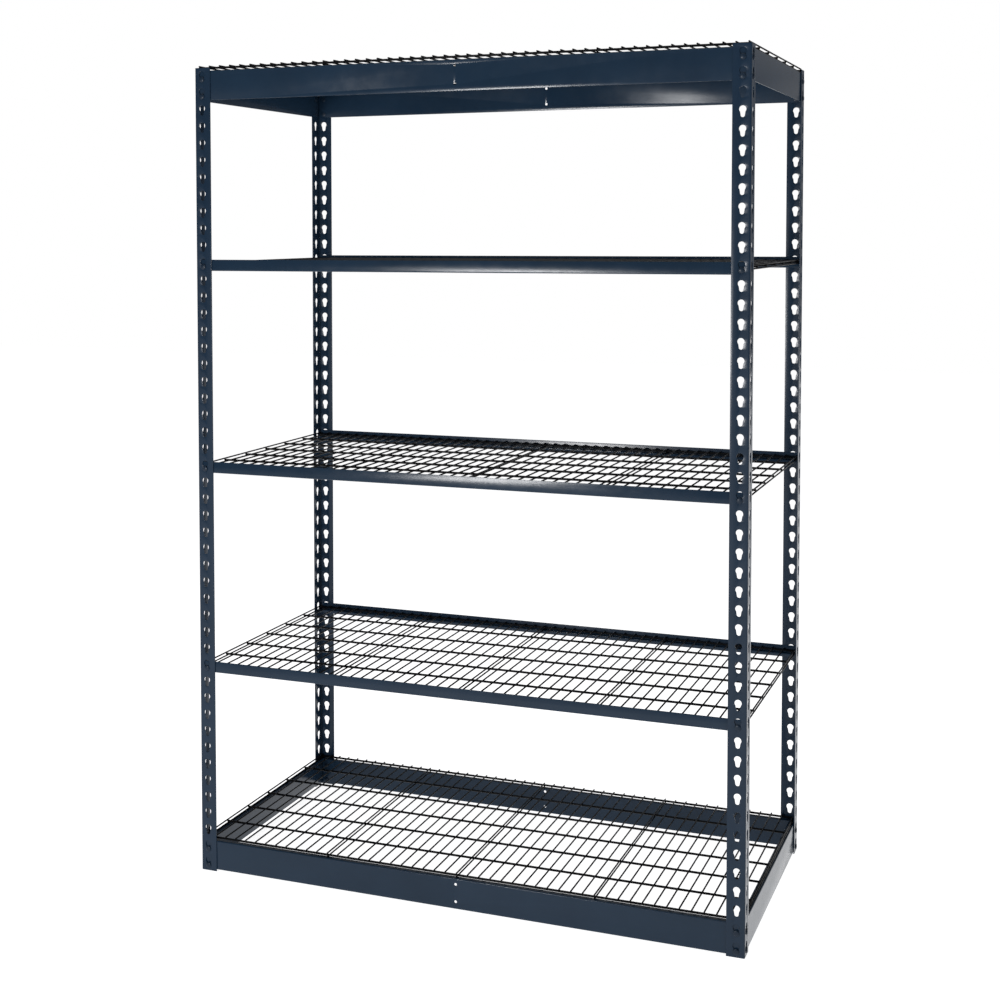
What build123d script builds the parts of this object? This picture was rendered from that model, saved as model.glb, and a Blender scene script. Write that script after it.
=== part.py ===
"""Boltless (rivet and keyhole) steel shelving: four angle posts, five levels and wire decks.

Frame: X runs along the shelf, Y from the front to the rear, Z up. The origin is on the
floor at the middle of the unit. Lengths are in millimetres.
"""

import os

from build123d import *

# Whole unit, over the posts
UNIT_LENGTH = 1240.0
UNIT_DEPTH = 650.0

# Wire deck
CROSS_WIRE_D = 3.4
CROSS_WIRE_GAPS = 48
LONG_WIRE_D = 5.0
LONG_WIRE_COUNT = 7
SUPPORT_WIRE_D = 3.4
SUPPORT_WIRE_COUNT = 5
WELD_BITE = 0.3
DECK_END_GAP = 5.6
DECK_SIDE_GAP = 6.8

# Posts
POST_HEIGHT = 1828.8
POST_FLANGE = 38.1
POST_STEEL = 2.0
POST_BEND = 3.0

# Keyholes in both flanges of every post
KEYHOLE_COUNT = 48
KEYHOLE_PITCH = 38.1
KEYHOLE_SETBACK = 17.5
KEYHOLE_LENGTH = 23.0
KEYHOLE_WIDE_D = 14.3
KEYHOLE_SLOT_W = 12.1
KEYHOLE_NARROW_D = 8.5

# Beams
BEAM_STEEL = 1.6
BEAM_BEND = 2.4
TALL_BEAM_HEIGHT = 66.0
TALL_BEAM_FLANGE = 14.0
TALL_BEAM_LIFT = 6.1
LOW_BEAM_HEIGHT = 25.4
LOW_BEAM_FLANGE = 14.0
LOW_BEAM_LIP = 8.5
LOW_BEAM_DROP = 9.0
BEAM_END_GAP = 1.1
TIE_HOLE_D = 6.0
TIE_HOLE_TOP = 12.5

# Rivets
RIVET_SHANK_D = 7.6
RIVET_HEAD_D = 12.5
RIVET_HEAD_HEIGHT = 2.4
RIVET_TAIL_D = 11.0
RIVET_TAIL_HEIGHT = 1.4
RIVET_CROWN = 0.8

# Clearances
SLIP = 0.3
RIVET_BORE_SLIP = 0.05
SEAT_SLIP = 0.3

# Levels from the top down: name, the keyholes its rivets sit in, counted from the top
LEVELS = [
    ("level_1", (1, 2)),
    ("level_2", (12,)),
    ("level_3", (24,)),
    ("level_4", (36,)),
    ("level_5", (47, 48)),
]

HALF_X = UNIT_LENGTH / 2
HALF_Y = UNIT_DEPTH / 2
DECK_LENGTH = UNIT_LENGTH - 2 * DECK_END_GAP
DECK_DEPTH = UNIT_DEPTH - 2 * DECK_SIDE_GAP
WEB_OUT = POST_STEEL + SLIP
WEB_IN = WEB_OUT + BEAM_STEEL
BEAM_END = WEB_IN + BEAM_END_GAP
FIRST_KEYHOLE = POST_HEIGHT - KEYHOLE_PITCH / 2
SEAT_DROP = (KEYHOLE_LENGTH - KEYHOLE_NARROW_D) / 2


def keyhole_z(number):
    """Height of the middle of a keyhole, number 1 at the top."""
    return FIRST_KEYHOLE - (number - 1) * KEYHOLE_PITCH


def rivet_z(number):
    """Height of a rivet that sits in the narrow end of a keyhole."""
    return keyhole_z(number) - SEAT_DROP


def save(shape, name):
    export_step(shape, os.path.join("parts", name + ".step"))


def grouped(solids):
    return Compound(children=list(solids))


def halves(sheet, web_side):
    """A folded sheet as two solids that share a face beside the fold."""
    return Compound([(sheet & web_side).solid(), (sheet - web_side).solid()])


# ---------------------------------------------------------------- posts


def keyhole_cutter():
    """A keyhole upright in XZ, its middle at the origin, cutting along Y.

    A round opening above, with a slot that tapers down from it to a round end.
    """
    wide = KEYHOLE_WIDE_D / 2
    narrow = KEYHOLE_NARROW_D / 2
    slot = KEYHOLE_SLOT_W / 2
    top = KEYHOLE_LENGTH / 2 - wide
    bottom = narrow - KEYHOLE_LENGTH / 2
    with BuildPart() as cutter:
        with BuildSketch(Plane.XZ):
            with Locations((0, top)):
                Circle(wide)
            with Locations((0, bottom)):
                Circle(narrow)
            Polygon((-slot, top), (slot, top), (narrow, bottom), (-narrow, bottom), align=None)
        extrude(amount=2 * POST_STEEL, both=True)
    return cutter.part


def front_left_post():
    with BuildPart() as post:
        with BuildSketch():
            with Locations((-HALF_X, -HALF_Y)):
                Rectangle(POST_FLANGE, POST_STEEL, align=(Align.MIN, Align.MIN))
                Rectangle(POST_STEEL, POST_FLANGE, align=(Align.MIN, Align.MIN))
        extrude(amount=POST_HEIGHT)
        upright = post.edges().filter_by(Axis.Z)
        corner = upright.sort_by_distance((-HALF_X, -HALF_Y, POST_HEIGHT / 2))[0]
        fillet(corner, POST_BEND)
        inside = (POST_STEEL - HALF_X, POST_STEEL - HALF_Y, POST_HEIGHT / 2)
        heel = post.edges().filter_by(Axis.Z).sort_by_distance(inside)[0]
        fillet(heel, POST_BEND - POST_STEEL)
    front_cut = keyhole_cutter()
    side_cut = front_cut.rotate(Axis.Z, 90)
    cuts = []
    for number in range(1, KEYHOLE_COUNT + 1):
        z = keyhole_z(number)
        cuts.append(Pos(KEYHOLE_SETBACK - HALF_X, POST_STEEL / 2 - HALF_Y, z) * front_cut)
        cuts.append(Pos(POST_STEEL / 2 - HALF_X, KEYHOLE_SETBACK - HALF_Y, z) * side_cut)
    lengthwise = Box(4 * POST_FLANGE, 2 * POST_BEND, 2 * POST_HEIGHT)
    return halves(post.part.cut(*cuts), Pos(-HALF_X, -HALF_Y, POST_HEIGHT / 2) * lengthwise)


def make_posts():
    front_left = front_left_post()
    front_right = front_left.mirror(Plane.YZ)
    save(front_left, "post_front_left")
    save(front_right, "post_front_right")
    save(front_left.mirror(Plane.XZ), "post_rear_left")
    save(front_right.mirror(Plane.XZ), "post_rear_right")


# ---------------------------------------------------------------- beams


def tall_section():
    """Angle section: web at Y 0 to the steel, bottom at Z 0, top flange towards +Y."""
    with BuildSketch(Plane.YZ) as section:
        Rectangle(BEAM_STEEL, TALL_BEAM_HEIGHT, align=(Align.MIN, Align.MIN))
        with Locations((0, TALL_BEAM_HEIGHT)):
            Rectangle(TALL_BEAM_FLANGE, BEAM_STEEL, align=(Align.MIN, Align.MAX))
        round_bend(section, 0, TALL_BEAM_HEIGHT, BEAM_STEEL, TALL_BEAM_HEIGHT - BEAM_STEEL)
    return section.sketch


def low_section():
    """Channel section: web at Y 0 to the steel, flange at Z 0 and a lip turned up from it."""
    with BuildSketch(Plane.YZ) as section:
        Rectangle(BEAM_STEEL, LOW_BEAM_HEIGHT, align=(Align.MIN, Align.MIN))
        Rectangle(LOW_BEAM_FLANGE, BEAM_STEEL, align=(Align.MIN, Align.MIN))
        with Locations((LOW_BEAM_FLANGE, 0)):
            Rectangle(BEAM_STEEL, LOW_BEAM_LIP, align=(Align.MAX, Align.MIN))
        round_bend(section, 0, 0, BEAM_STEEL, BEAM_STEEL)
        round_bend(section, LOW_BEAM_FLANGE, 0, LOW_BEAM_FLANGE - BEAM_STEEL, BEAM_STEEL)
    return section.sketch


def round_bend(section, outer_y, outer_z, inner_y, inner_z):
    """Rounds the outer and inner corners of one bend of a section."""
    outer = section.vertices().sort_by_distance((outer_y, outer_z, 0))[0]
    fillet(outer, BEAM_BEND)
    inner = section.vertices().sort_by_distance((inner_y, inner_z, 0))[0]
    fillet(inner, BEAM_BEND - BEAM_STEEL)


def beam(section, length, flange_trim, rivet_heights, tie):
    """A beam along X, centred, its web's outer face at Y 0 and its bottom at Z 0."""
    shape = extrude(section, amount=length / 2, both=True)
    if flange_trim > 0:
        for side in (-1, 1):
            trim = Box(
                flange_trim,
                2 * TALL_BEAM_FLANGE,
                2 * TALL_BEAM_HEIGHT,
                align=(Align.MAX if side > 0 else Align.MIN, Align.MIN, Align.CENTER),
            )
            shape -= Pos(side * length / 2, BEAM_BEND, TALL_BEAM_HEIGHT) * trim
    inset = KEYHOLE_SETBACK - BEAM_END
    across = Rot(90, 0, 0) * Cylinder(RIVET_SHANK_D / 2 + RIVET_BORE_SLIP, 4 * BEAM_STEEL)
    for side in (-1, 1):
        for z in rivet_heights:
            shape -= Pos(side * (length / 2 - inset), 0, z) * across
    if tie:
        small = Rot(90, 0, 0) * Cylinder(TIE_HOLE_D / 2, 4 * BEAM_STEEL)
        for drop in (TIE_HOLE_TOP, TIE_HOLE_TOP + KEYHOLE_PITCH):
            shape -= Pos(0, 0, TALL_BEAM_HEIGHT - drop) * small
    return halves(shape, Box(2 * length, 2 * BEAM_BEND, 4 * TALL_BEAM_HEIGHT))


def around(shape, side, z):
    """Turns a beam or rivet made for the front to one side of the unit."""
    turned = {
        "front": Pos(0, WEB_OUT - HALF_Y, z) * shape,
        "rear": Pos(0, HALF_Y - WEB_OUT, z) * Rot(0, 0, 180) * shape,
        "left": Pos(WEB_OUT - HALF_X, 0, z) * Rot(0, 0, -90) * shape,
        "right": Pos(HALF_X - WEB_OUT, 0, z) * Rot(0, 0, 90) * shape,
    }
    return turned[side]


def rivet():
    """A rivet along Y for the front: head outside the post, tail inside the beam's web."""
    head_seat = -WEB_OUT - SLIP
    head_top = head_seat - RIVET_HEAD_HEIGHT
    tail_seat = BEAM_STEEL
    tail_end = tail_seat + RIVET_TAIL_HEIGHT
    head = RIVET_HEAD_D / 2
    shank = RIVET_SHANK_D / 2
    tail = RIVET_TAIL_D / 2
    crown = RIVET_CROWN
    with BuildPart() as made:
        with BuildSketch(Plane.XY):
            with BuildLine():
                Line((0, head_top), (head / 3, head_top))
                ThreePointArc(
                    (head / 3, head_top),
                    (head * 0.75, head_top + crown / 2),
                    (head, head_seat - crown),
                )
                Polyline(
                    (head, head_seat - crown),
                    (head, head_seat),
                    (shank, head_seat),
                    (shank, tail_seat),
                    (tail, tail_seat),
                    (tail, tail_end - crown / 2),
                    (tail - crown / 2, tail_end),
                    (0, tail_end),
                    (0, head_top),
                )
            make_face()
        revolve(axis=Axis.Y)
    return made.part


def rivet_row(name, sides, keyholes):
    one = rivet()
    placed = []
    for side in sides:
        half = HALF_X if side in ("front", "rear") else HALF_Y
        for end in (-1, 1):
            for number in keyholes:
                at = Pos(end * (half - KEYHOLE_SETBACK), 0, rivet_z(number)) * one
                placed.append(around(at, side, 0))
    save(grouped(placed), name + "_rivets")


def tall_level(name, keyholes):
    """Four tall beams with two rivets at each end. Returns the height of their tops."""
    middle = sum(rivet_z(number) for number in keyholes) / len(keyholes)
    bottom = middle + TALL_BEAM_LIFT - TALL_BEAM_HEIGHT / 2
    heights = [rivet_z(number) - bottom for number in keyholes]
    section = tall_section()
    trim = TALL_BEAM_FLANGE + WEB_OUT + BEAM_END_GAP - BEAM_END
    lengthwise = beam(section, 2 * (HALF_X - BEAM_END), 0, heights, True)
    crosswise = beam(section, 2 * (HALF_Y - BEAM_END), trim, heights, False)
    for side in ("front", "rear"):
        save(around(lengthwise, side, bottom), f"{name}_beam_{side}")
    for side in ("left", "right"):
        save(around(crosswise, side, bottom), f"{name}_beam_{side}")
    rivet_row(name, ("front", "rear", "left", "right"), keyholes)
    return bottom + TALL_BEAM_HEIGHT


def low_level(name, keyholes):
    """Two low beams with one rivet at each end. Returns the height of their lips."""
    bottom = rivet_z(keyholes[0]) - LOW_BEAM_DROP
    lengthwise = beam(low_section(), 2 * (HALF_X - BEAM_END), 0, [LOW_BEAM_DROP], False)
    for side in ("front", "rear"):
        save(around(lengthwise, side, bottom), f"{name}_beam_{side}")
    rivet_row(name, ("front", "rear"), keyholes)
    return bottom + LOW_BEAM_LIP


# ---------------------------------------------------------------- wire decks


def spread(count, first, last):
    return [first + (last - first) * n / (count - 1) for n in range(count)]


def wire(diameter, length, along):
    turn = Rot(0, 90, 0) if along == "x" else Rot(90, 0, 0)
    return turn * Cylinder(diameter / 2, length)


def deck(name, seat):
    """A welded deck whose support wires rest at height seat."""
    support_z = seat + SEAT_SLIP + SUPPORT_WIRE_D / 2
    long_z = support_z + SUPPORT_WIRE_D / 2 + LONG_WIRE_D / 2 - WELD_BITE
    cross_z = long_z + LONG_WIRE_D / 2 + CROSS_WIRE_D / 2 - WELD_BITE
    end_x = DECK_LENGTH / 2 - CROSS_WIRE_D / 2
    edge_y = DECK_DEPTH / 2 - LONG_WIRE_D / 2
    cross = wire(CROSS_WIRE_D, DECK_DEPTH, "y")
    support = wire(SUPPORT_WIRE_D, DECK_DEPTH, "y")
    lengthwise = wire(LONG_WIRE_D, DECK_LENGTH, "x")
    xs = spread(CROSS_WIRE_GAPS + 1, -end_x, end_x)
    ys = spread(LONG_WIRE_COUNT, -edge_y, edge_y)
    supports = spread(SUPPORT_WIRE_COUNT, -end_x, end_x)
    save(grouped(Pos(x, 0, cross_z) * cross for x in xs), name + "_cross_wires")
    save(grouped(Pos(0, y, long_z) * lengthwise for y in ys), name + "_long_wires")
    save(grouped(Pos(x, 0, support_z) * support for x in supports), name + "_support_wires")


def main():
    os.makedirs("parts", exist_ok=True)
    make_posts()
    for name, keyholes in LEVELS:
        if len(keyholes) > 1:
            seat = tall_level(name, keyholes)
        else:
            seat = low_level(name, keyholes)
        deck(name.replace("level", "deck"), seat)


main()
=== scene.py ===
"""Looks of the boltless steel shelving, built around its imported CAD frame. Metres, +Z up."""

import math

import bmesh
import bpy
from mathutils import Matrix, Vector


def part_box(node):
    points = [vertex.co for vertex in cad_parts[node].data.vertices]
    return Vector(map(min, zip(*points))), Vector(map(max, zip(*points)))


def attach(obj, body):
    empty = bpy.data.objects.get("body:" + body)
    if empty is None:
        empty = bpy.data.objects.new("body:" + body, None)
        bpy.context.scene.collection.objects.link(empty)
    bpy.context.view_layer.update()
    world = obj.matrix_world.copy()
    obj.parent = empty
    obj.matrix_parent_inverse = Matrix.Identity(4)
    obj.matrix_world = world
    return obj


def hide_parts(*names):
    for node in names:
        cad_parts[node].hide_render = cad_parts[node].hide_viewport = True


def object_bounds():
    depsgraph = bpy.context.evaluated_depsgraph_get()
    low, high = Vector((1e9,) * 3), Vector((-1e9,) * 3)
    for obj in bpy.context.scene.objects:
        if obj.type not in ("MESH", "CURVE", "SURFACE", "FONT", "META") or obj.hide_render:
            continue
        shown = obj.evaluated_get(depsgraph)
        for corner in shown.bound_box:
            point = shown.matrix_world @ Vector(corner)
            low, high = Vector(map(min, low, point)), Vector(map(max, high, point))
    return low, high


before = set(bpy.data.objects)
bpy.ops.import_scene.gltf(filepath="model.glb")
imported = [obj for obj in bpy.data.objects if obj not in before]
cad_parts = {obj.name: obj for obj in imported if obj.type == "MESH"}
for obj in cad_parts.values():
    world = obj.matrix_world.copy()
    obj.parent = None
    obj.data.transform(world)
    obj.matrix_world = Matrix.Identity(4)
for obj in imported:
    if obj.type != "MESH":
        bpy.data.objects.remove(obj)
cad_low, cad_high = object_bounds()

MM = 0.001

# Sheet steel
POST_STEEL = 2.0 * MM
POST_BEND = 3.0 * MM
BEAM_STEEL = 1.6 * MM
BEAM_BEND = 2.4 * MM
CUT_EDGE = 0.4 * MM
MERGE_DISTANCE = 0.001 * MM
BEND_STEPS = 8
BEND_MARGIN = 0.2 * MM
BLANK_CORNER = 1.5 * MM
FLANGE_NOTCH = 0.01 * MM
SHEET_SHARP_DEG = 16

# Keyholes
KEYHOLE_COUNT = 48
KEYHOLE_PITCH = 38.1 * MM
KEYHOLE_SETBACK = 17.5 * MM
KEYHOLE_LENGTH = 23.0 * MM
KEYHOLE_WIDE_R = 7.15 * MM
KEYHOLE_SLOT_R = 6.05 * MM
KEYHOLE_NARROW_R = 4.25 * MM

# Rivets
RIVET_R = 3.8 * MM
RIVET_HEAD_R = 6.25 * MM
RIVET_HEAD_H = 2.4 * MM
RIVET_TAIL_R = 5.5 * MM
RIVET_TAIL_H = 1.4 * MM
RIVET_HEAD_RIM = 0.7 * MM
RIVET_HEAD_EDGE = 0.12 * MM
RIVET_TAIL_CROWN = 0.9 * MM
SLIP = 0.3 * MM

# Beams
TIE_HOLE_R = 3.0 * MM
TIE_HOLE_TOP = 12.5 * MM
LOW_BEAM_LIP = 8.5 * MM

# Wires
CROSS_WIRE_COUNT = 49
LONG_WIRE_COUNT = 7
SUPPORT_WIRE_COUNT = 5
# Share of a wire's radius taken off at its ends.
WIRE_END_CHAMFER = 0.3

# Above this angle an edge of a rivet or a wire is shaded sharp.
TURNED_SHARP_DEG = 50

# Paint
PEEL_HEIGHT = 0.4 * MM

# Studio
FLOOR_REACH = 14.0
FLOOR_DROP = 0.6 * MM

CORNERS = {
    "front_left": (-1, -1),
    "front_right": (1, -1),
    "rear_left": (-1, 1),
    "rear_right": (1, 1),
}
TALL_LEVELS = ("level_1", "level_5")
KEYHOLES_USED = {
    "level_1": (1, 2),
    "level_2": (12,),
    "level_3": (24,),
    "level_4": (36,),
    "level_5": (47, 48),
}

post_low, post_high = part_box("post_rear_right")
HALF_X = post_high.x
HALF_Y = post_high.y
POST_HEIGHT = post_high.z - post_low.z
POST_FLANGE = post_high.x - post_low.x
WEB_OUT = POST_STEEL + SLIP
SEAT_DROP = KEYHOLE_LENGTH / 2 - KEYHOLE_NARROW_R


# ---------------------------------------------------------------- materials


def new_material(name):
    made = bpy.data.materials.new(name)
    made.use_nodes = True
    tree = made.node_tree
    tree.nodes.clear()
    out = tree.nodes.new("ShaderNodeOutputMaterial")
    shader = tree.nodes.new("ShaderNodeBsdfPrincipled")
    tree.links.new(shader.outputs["BSDF"], out.inputs["Surface"])
    coords = tree.nodes.new("ShaderNodeTexCoord")
    return made, tree, shader, coords


def noise(tree, coords, scale, detail, roughness):
    made = tree.nodes.new("ShaderNodeTexNoise")
    made.inputs["Scale"].default_value = scale
    made.inputs["Detail"].default_value = detail
    made.inputs["Roughness"].default_value = roughness
    tree.links.new(coords.outputs["Object"], made.inputs["Vector"])
    return made.outputs["Fac"]


def ramp(tree, source, first, last):
    """Colour between two stops, each a place and a colour."""
    made = tree.nodes.new("ShaderNodeValToRGB")
    for stop, (place, colour) in zip(made.color_ramp.elements, (first, last)):
        stop.position = place
        stop.color = (*colour, 1)
    tree.links.new(source, made.inputs["Fac"])
    return made.outputs["Color"]


def span(tree, source, low, high):
    """Maps the middle of a noise's range to low and high."""
    made = tree.nodes.new("ShaderNodeMapRange")
    made.inputs["From Min"].default_value = 0.3
    made.inputs["From Max"].default_value = 0.7
    made.inputs["To Min"].default_value = low
    made.inputs["To Max"].default_value = high
    tree.links.new(source, made.inputs["Value"])
    return made.outputs["Result"]


def multiply(tree, first, second):
    """Product of two colour outputs."""
    made = tree.nodes.new("ShaderNodeMix")
    made.data_type = "RGBA"
    made.blend_type = "MULTIPLY"
    inputs = {socket.name: socket for socket in made.inputs if socket.enabled}
    inputs["Factor"].default_value = 1.0
    tree.links.new(first, inputs["A"])
    tree.links.new(second, inputs["B"])
    return [socket for socket in made.outputs if socket.enabled][0]


def powder_coat(name, dark, light, gloss, peel=0.03, specular=0.2):
    """Baked powder paint: fine orange peel, cloudy film thickness, specks and soft gloss."""
    made, tree, shader, coords = new_material(name)
    cloud = noise(tree, coords, scale=7.0, detail=3.0, roughness=0.55)
    film = ramp(tree, cloud, (0.3, dark), (0.7, light))
    speck = noise(tree, coords, scale=2600.0, detail=1.0, roughness=0.4)
    speckle = ramp(tree, speck, (0.42, (0.94, 0.94, 0.95)), (0.66, (1.05, 1.05, 1.05)))
    tree.links.new(multiply(tree, film, speckle), shader.inputs["Base Color"])
    rough = noise(tree, coords, scale=38.0, detail=3.0, roughness=0.6)
    tree.links.new(span(tree, rough, gloss[0], gloss[1]), shader.inputs["Roughness"])
    shader.inputs["Specular IOR Level"].default_value = specular
    skin = noise(tree, coords, scale=620.0, detail=2.0, roughness=0.5)
    bump = tree.nodes.new("ShaderNodeBump")
    bump.inputs["Strength"].default_value = peel
    bump.inputs["Distance"].default_value = PEEL_HEIGHT
    tree.links.new(skin, bump.inputs["Height"])
    tree.links.new(bump.outputs["Normal"], shader.inputs["Normal"])
    return made


POST_PAINT = powder_coat(
    "post_paint", dark=(0.0075, 0.019, 0.037), light=(0.010, 0.024, 0.046), gloss=(0.19, 0.25),
)
BEAM_PAINT = powder_coat(
    "beam_paint", dark=(0.0072, 0.019, 0.037), light=(0.0095, 0.024, 0.046), gloss=(0.15, 0.20),
)
RIVET_PAINT = powder_coat(
    "rivet_paint", dark=(0.006, 0.014, 0.027), light=(0.008, 0.018, 0.034), gloss=(0.28, 0.38),
)
WIRE_PAINT = powder_coat(
    "wire_paint", dark=(0.0014, 0.0016, 0.0022), light=(0.0026, 0.0028, 0.0038), gloss=(0.34, 0.44),
    peel=0.05, specular=0.10,
)


# ---------------------------------------------------------------- mesh helpers


def add_piece(name, mesh, material, body, node):
    """Links a mesh that rides a body and stands in for one CAD node."""
    piece = bpy.data.objects.new(name, mesh)
    bpy.context.scene.collection.objects.link(piece)
    mesh.materials.clear()
    mesh.materials.append(material)
    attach(piece, body)
    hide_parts(node)


def arc(centre, radius, start, end, steps):
    """Points on a circle from one angle to another, in degrees."""
    points = []
    for n in range(steps + 1):
        a = math.radians(start + (end - start) * n / steps)
        points.append((centre[0] + radius * math.cos(a), centre[1] + radius * math.sin(a)))
    return points


def circle(centre, radius):
    return arc(centre, radius, 0, 360, 32)[:-1]


def keyhole(u, v):
    """Outline of a keyhole, its middle at u, v: a round top and a tapered slot below it."""
    wide = (u, v + KEYHOLE_LENGTH / 2 - KEYHOLE_WIDE_R)
    narrow = (u, v + KEYHOLE_NARROW_R - KEYHOLE_LENGTH / 2)
    # The slot's edge is KEYHOLE_SLOT_R - lean * depth from the middle, and leaves the circle
    # where that and the depth below the wide end's centre are one radius: a quadratic.
    lean = (KEYHOLE_SLOT_R - KEYHOLE_NARROW_R) / (wide[1] - narrow[1])
    half_b = -KEYHOLE_SLOT_R * lean
    a = 1 + lean * lean
    c = KEYHOLE_SLOT_R**2 - KEYHOLE_WIDE_R**2
    depth = (-half_b + math.sqrt(half_b * half_b - a * c)) / a
    mouth = math.degrees(math.atan2(depth, KEYHOLE_SLOT_R - lean * depth))
    upper = arc(wide, KEYHOLE_WIDE_R, -mouth, 180 + mouth, 26)
    lower = arc(narrow, KEYHOLE_NARROW_R, 180, 360, 14)
    return upper + lower


def flat_blank(outline, holes, steel):
    """The unfolded sheet in the XY plane, centred on Z, with softly rounded cut edges."""
    curve = bpy.data.curves.new("blank", "CURVE")
    curve.dimensions = "2D"
    curve.fill_mode = "BOTH"
    for loop in [outline, *holes]:
        spline = curve.splines.new("POLY")
        spline.points.add(len(loop) - 1)
        for point, (u, v) in zip(spline.points, loop):
            point.co = (u, v, 0, 1)
        spline.use_cyclic_u = True
    curve.extrude = steel / 2 - CUT_EDGE
    curve.bevel_depth = CUT_EDGE
    curve.bevel_resolution = 2
    curve.offset = -CUT_EDGE
    holder = bpy.data.objects.new("blank", curve)
    mesh = bpy.data.meshes.new_from_object(holder)
    bpy.data.objects.remove(holder)
    bpy.data.curves.remove(curve)
    return mesh


def folded_sheet(name, outline, holes, steel, path, place):
    """Cuts a blank, folds it along path and puts it in place.

    path is the cross-section: ("flat", length) and ("bend", inner radius) in turn, along the
    sheet's inner face from p, q = 0, 0 towards +p, each bend turning towards -q.
    """
    mesh = flat_blank(outline, holes, steel)
    shape = bmesh.new()
    shape.from_mesh(mesh)
    bmesh.ops.remove_doubles(shape, verts=shape.verts, dist=MERGE_DISTANCE)
    spans, at = [], 0.0
    for kind, size in path:
        length = size if kind == "flat" else math.pi / 2 * (size + steel / 2)
        spans.append((kind, size, at, at + length))
        if kind == "bend":
            # One more cut just outside each end of the bend keeps the flats' shading flat.
            cuts = [at + length * n / BEND_STEPS for n in range(BEND_STEPS + 1)]
            for cut in (at - BEND_MARGIN, *cuts, at + length + BEND_MARGIN):
                bmesh.ops.bisect_plane(
                    shape,
                    geom=[*shape.verts, *shape.edges, *shape.faces],
                    plane_co=(cut, 0, 0),
                    plane_no=(1, 0, 0),
                    dist=1e-7,
                )
        at += length
    for vert in shape.verts:
        u, v, w = vert.co.x, vert.co.y, vert.co.z + steel / 2
        foot, along, out = Vector((0, 0)), Vector((1, 0)), Vector((0, 1))
        for kind, size, start, end in spans:
            last = (kind, size, start, end) == spans[-1]
            part = u - start if last else min(u, end) - start
            if kind == "flat":
                foot = foot + along * part
            else:
                centre = foot - out * size
                turn = -math.pi / 2 * part / (end - start)
                spin = Matrix.Rotation(turn, 2)
                out, along = spin @ out, spin @ along
                foot = centre + out * size
            if u <= end:
                break
        section = foot + out * w
        vert.co = Vector((section.x, section.y, v))
    bmesh.ops.recalc_face_normals(shape, faces=shape.faces)
    shape.to_mesh(mesh)
    shape.free()
    mesh.name = name
    mesh.transform(place)
    if place.determinant() < 0:
        mesh.flip_normals()
    for face in mesh.polygons:
        face.use_smooth = True
    mesh.set_sharp_from_angle(angle=math.radians(SHEET_SHARP_DEG))
    return mesh


def rows(*vectors):
    """A matrix whose columns are where local X, Y and Z go, and the origin."""
    return Matrix([[v[r] for v in vectors] for r in range(3)] + [[0, 0, 0, 1]])


def tube(shape, start, end, radius, sides=16):
    """A straight wire with lightly chamfered ends."""
    line = (end - start).normalized()
    across = line.orthogonal().normalized()
    other = line.cross(across)
    cut = radius * WIRE_END_CHAMFER
    rings = []
    for centre, r in (
        (start, radius - cut),
        (start + line * cut, radius),
        (end - line * cut, radius),
        (end, radius - cut),
    ):
        ring = []
        for n in range(sides):
            a = 2 * math.pi * n / sides
            ring.append(shape.verts.new(centre + (across * math.cos(a) + other * math.sin(a)) * r))
        rings.append(ring)
    for first, second in zip(rings, rings[1:]):
        for n in range(sides):
            m = (n + 1) % sides
            shape.faces.new((first[n], first[m], second[m], second[n]))
    shape.faces.new(list(reversed(rings[0])))
    shape.faces.new(rings[-1])


def lathe(shape, profile, place, sides=32):
    """Turns a profile of (radius, height) about local Z, then moves it by place."""
    rings = []
    for radius, height in profile:
        if radius < 1e-7:
            rings.append([shape.verts.new(place @ Vector((0, 0, height)))])
            continue
        ring = []
        for n in range(sides):
            a = 2 * math.pi * n / sides
            at = Vector((radius * math.cos(a), radius * math.sin(a), height))
            ring.append(shape.verts.new(place @ at))
        rings.append(ring)
    for first, second in zip(rings, rings[1:]):
        for n in range(sides):
            m = (n + 1) % sides
            if len(first) == 1:
                shape.faces.new((first[0], second[m], second[n]))
            elif len(second) == 1:
                shape.faces.new((first[n], first[m], second[0]))
            else:
                shape.faces.new((first[n], first[m], second[m], second[n]))


def finished(shape, name):
    """Turns a bmesh into a smooth-shaded mesh with sharp edges where it turns hard."""
    bmesh.ops.recalc_face_normals(shape, faces=shape.faces)
    mesh = bpy.data.meshes.new(name)
    shape.to_mesh(mesh)
    shape.free()
    for face in mesh.polygons:
        face.use_smooth = True
    mesh.set_sharp_from_angle(angle=math.radians(TURNED_SHARP_DEG))
    return mesh


# ---------------------------------------------------------------- posts


def keyhole_z(number):
    return POST_HEIGHT - KEYHOLE_PITCH * (number - 0.5)


def rivet_z(number):
    return keyhole_z(number) - SEAT_DROP


def rectangle(u0, v0, u1, v1):
    return [(u0, v0), (u1, v0), (u1, v1), (u0, v1)]


def make_post(corner, signs):
    flat = POST_FLANGE - POST_BEND
    inner = POST_BEND - POST_STEEL
    bend = math.pi / 2 * (inner + POST_STEEL / 2)
    setback = KEYHOLE_SETBACK - POST_BEND
    holes = []
    for number in range(1, KEYHOLE_COUNT + 1):
        z = keyhole_z(number)
        holes.append(keyhole(flat - setback, z))
        holes.append(keyhole(flat + bend + setback, z))
    outline = rectangle(0, 0, 2 * flat + bend, POST_HEIGHT)
    sx, sy = signs
    # The lengthwise flange runs outwards along X, then the sheet turns round the corner.
    start = Vector((sx * (HALF_X - POST_FLANGE), sy * (HALF_Y - POST_STEEL), 0))
    place = rows((sx, 0, 0), (0, sy, 0), (0, 0, 1), start)
    path = [("flat", flat), ("bend", inner), ("flat", flat)]
    name = "post_" + corner
    mesh = folded_sheet(name, outline, holes, POST_STEEL, path, place)
    add_piece(name + "_sheet", mesh, POST_PAINT, "posts", name)


for corner, signs in CORNERS.items():
    make_post(corner, signs)


# ---------------------------------------------------------------- beams


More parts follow.
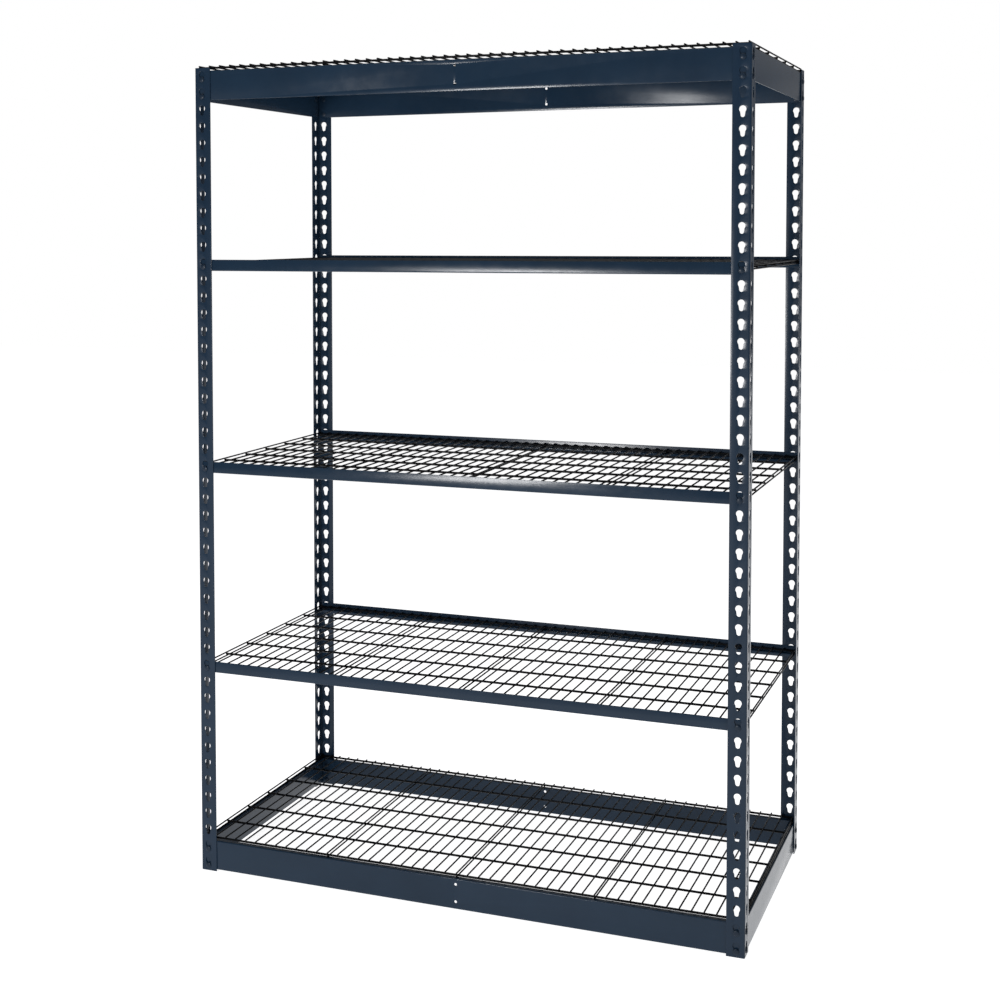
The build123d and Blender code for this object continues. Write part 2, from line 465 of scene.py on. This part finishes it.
def side_place(side, bottom):
    """Directions along a side and out of it, and the middle of a web's outer face there."""
    places = {
        "front": ((1, 0, 0), (0, -1, 0), (0, WEB_OUT - HALF_Y, bottom)),
        "rear": ((-1, 0, 0), (0, 1, 0), (0, HALF_Y - WEB_OUT, bottom)),
        "left": ((0, -1, 0), (-1, 0, 0), (WEB_OUT - HALF_X, 0, bottom)),
        "right": ((0, 1, 0), (1, 0, 0), (HALF_X - WEB_OUT, 0, bottom)),
    }
    return tuple(Vector(v) for v in places[side])


def beam_outline(points, half, trim):
    """Blank of a beam: (u, inset, whether trimmed) up one end, mirrored for the other end."""
    right = [(u, half - (trim if trimmed else 0.0) - inset) for u, inset, trimmed in points]
    return right + [(u, -v) for u, v in reversed(right)]


def make_beam(level, side):
    """A folded beam: web and top flange if tall, or lip, bottom flange and web if low."""
    name = f"{level}_beam_{side}"
    low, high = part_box(name)
    height = high.z - low.z
    lengthwise = side in ("front", "rear")
    size = high - low
    length, flange = (size.x, size.y) if lengthwise else (size.y, size.x)
    inner = BEAM_BEND - BEAM_STEEL
    bend = math.pi / 2 * (inner + BEAM_STEEL / 2)
    half = length / 2
    along, outward, origin = side_place(side, low.z)
    holes = []
    if level in TALL_LEVELS:
        # From the web's lower edge up, then inwards along the top flange.
        web, lip = height - BEAM_BEND, flange - BEAM_BEND
        # A side beam's flange also clears the flanges of the front and rear beams.
        trim = 0.0 if lengthwise else flange - BEAM_STEEL
        total = web + bend + lip
        path = [("flat", web), ("bend", inner), ("flat", lip)]
        points = [
            (0, BLANK_CORNER, False),
            (BLANK_CORNER, 0, False),
            (web + bend, 0, False),
            (web + bend + FLANGE_NOTCH, 0, True),
            (total - BLANK_CORNER, 0, True),
            (total, BLANK_CORNER, True),
        ]
        if lengthwise:
            for drop in (TIE_HOLE_TOP, TIE_HOLE_TOP + KEYHOLE_PITCH):
                holes.append(circle((height - drop, 0), TIE_HOLE_R))
        start = origin - outward * BEAM_STEEL
        place = rows((0, 0, 1), outward, along, start)
    else:
        # From the lip's upper edge down, outwards along the flange, then up the web.
        trim = 0.0
        lip, flat, web = LOW_BEAM_LIP - BEAM_BEND, flange - 2 * BEAM_BEND, height - BEAM_BEND
        total = lip + 2 * bend + flat + web
        path = [("flat", lip), ("bend", inner), ("flat", flat), ("bend", inner), ("flat", web)]
        points = [
            (0, BLANK_CORNER, False),
            (BLANK_CORNER, 0, False),
            (total - BLANK_CORNER, 0, False),
            (total, BLANK_CORNER, False),
        ]
        start = origin - outward * (flange - BEAM_STEEL) + Vector((0, 0, LOW_BEAM_LIP))
        place = rows((0, 0, -1), -outward, along, start)
    outline = beam_outline(points, half, trim)
    mesh = folded_sheet(name, outline, holes, BEAM_STEEL, path, place)
    add_piece(name + "_sheet", mesh, BEAM_PAINT, level, name)


def rivet_profile():
    """(radius, height) from the outer head's top at the most negative height to the tail."""
    seat = -(WEB_OUT + SLIP)
    profile = []
    crown = RIVET_HEAD_H - RIVET_HEAD_RIM
    for n in range(7):
        a = math.pi / 2 * n / 6
        profile.append((RIVET_HEAD_R * math.sin(a), seat - RIVET_HEAD_RIM - crown * math.cos(a)))
    profile.append((RIVET_HEAD_R, seat - RIVET_HEAD_EDGE))
    profile.append((RIVET_HEAD_R - RIVET_HEAD_EDGE, seat))
    profile.append((RIVET_R, seat))
    profile.append((RIVET_R, BEAM_STEEL))
    profile.append((RIVET_TAIL_R, BEAM_STEEL))
    tail = BEAM_STEEL + RIVET_TAIL_H
    for n in range(4):
        a = math.pi / 2 * n / 3
        radius = RIVET_TAIL_R - RIVET_TAIL_CROWN * (1 - math.cos(a))
        profile.append((radius, tail - RIVET_TAIL_CROWN * (1 - math.sin(a))))
    profile.append((0, tail))
    return profile


def make_rivets(level):
    sides = ("front", "rear", "left", "right") if level in TALL_LEVELS else ("front", "rear")
    shape = bmesh.new()
    profile = rivet_profile()
    for side in sides:
        along, outward, origin = side_place(side, 0)
        half = HALF_X if side in ("front", "rear") else HALF_Y
        for end in (-1, 1):
            for number in KEYHOLES_USED[level]:
                at = origin + along * end * (half - KEYHOLE_SETBACK)
                at.z = rivet_z(number)
                place = rows(along, Vector((0, 0, 1)), -outward, at)
                lathe(shape, profile, place)
    mesh = finished(shape, level + "_rivets")
    add_piece(level + "_rivet_set", mesh, RIVET_PAINT, level, level + "_rivets")


for level in KEYHOLES_USED:
    for side in ("front", "rear", "left", "right"):
        if f"{level}_beam_{side}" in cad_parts:
            make_beam(level, side)
    make_rivets(level)


# ---------------------------------------------------------------- wire decks


def spread(count, first, last):
    return [first + (last - first) * n / (count - 1) for n in range(count)]


def make_wires(deck, kind, count, lengthwise):
    """One direction of a deck's wires, spread evenly over the CAD node's box."""
    node = f"{deck}_{kind}_wires"
    low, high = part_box(node)
    radius = (high.z - low.z) / 2
    z = (high.z + low.z) / 2
    shape = bmesh.new()
    if lengthwise:
        for y in spread(count, low.y + radius, high.y - radius):
            tube(shape, Vector((low.x, y, z)), Vector((high.x, y, z)), radius)
    else:
        for x in spread(count, low.x + radius, high.x - radius):
            tube(shape, Vector((x, low.y, z)), Vector((x, high.y, z)), radius)
    mesh = finished(shape, node)
    add_piece(f"{deck}_{kind}_wire_set", mesh, WIRE_PAINT, deck, node)


for number in range(1, len(KEYHOLES_USED) + 1):
    deck = f"deck_{number}"
    make_wires(deck, "cross", CROSS_WIRE_COUNT, lengthwise=False)
    make_wires(deck, "long", LONG_WIRE_COUNT, lengthwise=True)
    make_wires(deck, "support", SUPPORT_WIRE_COUNT, lengthwise=False)


# ---------------------------------------------------------------- studio


def floor_material():
    made, tree, shader, coords = new_material("floor_paper")
    cloud = noise(tree, coords, scale=1.4, detail=3.0, roughness=0.5)
    colour = ramp(tree, cloud, (0.3, (0.86, 0.86, 0.86)), (0.7, (0.89, 0.89, 0.89)))
    tree.links.new(colour, shader.inputs["Base Color"])
    shader.inputs["Roughness"].default_value = 0.9
    shader.inputs["Specular IOR Level"].default_value = 0.1
    shader.inputs["Emission Color"].default_value = (1, 1, 1, 1)
    shader.inputs["Emission Strength"].default_value = 0.82
    return made


def make_floor():
    shape = bmesh.new()
    corners = rectangle(-FLOOR_REACH, -FLOOR_REACH, FLOOR_REACH, FLOOR_REACH)
    z = cad_low.z - FLOOR_DROP
    shape.faces.new([shape.verts.new((x, y, z)) for x, y in corners])
    mesh = bpy.data.meshes.new("floor")
    shape.to_mesh(mesh)
    shape.free()
    mesh.materials.append(floor_material())
    floor = bpy.data.objects.new("floor", mesh)
    bpy.context.scene.collection.objects.link(floor)


def area_light(name, at, aim, size, power):
    lamp = bpy.data.lights.new(name, "AREA")
    lamp.shape = "RECTANGLE"
    lamp.size, lamp.size_y = size
    lamp.energy = power
    holder = bpy.data.objects.new(name, lamp)
    holder.location = at
    direction = Vector(aim) - Vector(at)
    holder.rotation_euler = direction.to_track_quat("-Z", "Y").to_euler()
    bpy.context.scene.collection.objects.link(holder)


def make_world():
    """White where the camera sees it directly, and a dim room for light and reflections."""
    world = bpy.data.worlds.new("studio")
    bpy.context.scene.world = world
    world.use_nodes = True
    tree = world.node_tree
    tree.nodes.clear()
    out = tree.nodes.new("ShaderNodeOutputWorld")
    seen = tree.nodes.new("ShaderNodeBackground")
    seen.inputs["Color"].default_value = (1, 1, 1, 1)
    seen.inputs["Strength"].default_value = 1.0
    room = tree.nodes.new("ShaderNodeBackground")
    room.inputs["Color"].default_value = (0.96, 0.97, 1.0, 1)
    room.inputs["Strength"].default_value = 0.22
    path = tree.nodes.new("ShaderNodeLightPath")
    both = tree.nodes.new("ShaderNodeMixShader")
    tree.links.new(path.outputs["Is Camera Ray"], both.inputs["Fac"])
    tree.links.new(room.outputs["Background"], both.inputs[1])
    tree.links.new(seen.outputs["Background"], both.inputs[2])
    tree.links.new(both.outputs["Shader"], out.inputs["Surface"])


def make_camera():
    """Camera to the right of the unit at about eye height, turned left and slightly down."""
    yaw, pitch, roll = 0.401545, -0.0520971, 0.00341627
    at = Vector((1.23204, -3.63498, 1.46625))
    turn = Matrix.Rotation(yaw, 3, "Z") @ Matrix.Rotation(pitch, 3, "X")
    turn = turn @ Matrix.Rotation(roll, 3, "Y")
    right, ahead, up = turn.col
    data = bpy.data.cameras.new("camera")
    data.sensor_width = 36.0
    data.lens = 60.17436
    data.shift_x = 0.120992
    data.shift_y = -0.183337
    data.clip_start, data.clip_end = 0.05, 100
    camera = bpy.data.objects.new("camera", data)
    camera.matrix_world = rows(right, up, -ahead, at)
    bpy.context.scene.collection.objects.link(camera)
    bpy.context.scene.camera = camera


make_floor()
make_world()
make_camera()
bpy.context.scene.view_settings.view_transform = "Standard"
area_light("overhead", (0.3, -0.6, 4.6), (0, 0, 0.6), (4.5, 4.0), 60)
area_light("front_soft", (-0.96, -3.7, 1.2), (0, 0, 1.1), (0.62, 0.5), 55)
area_light("right_soft", (3.6, 0.6, 1.7), (0, 0, 1.0), (1.6, 2.2), 14)
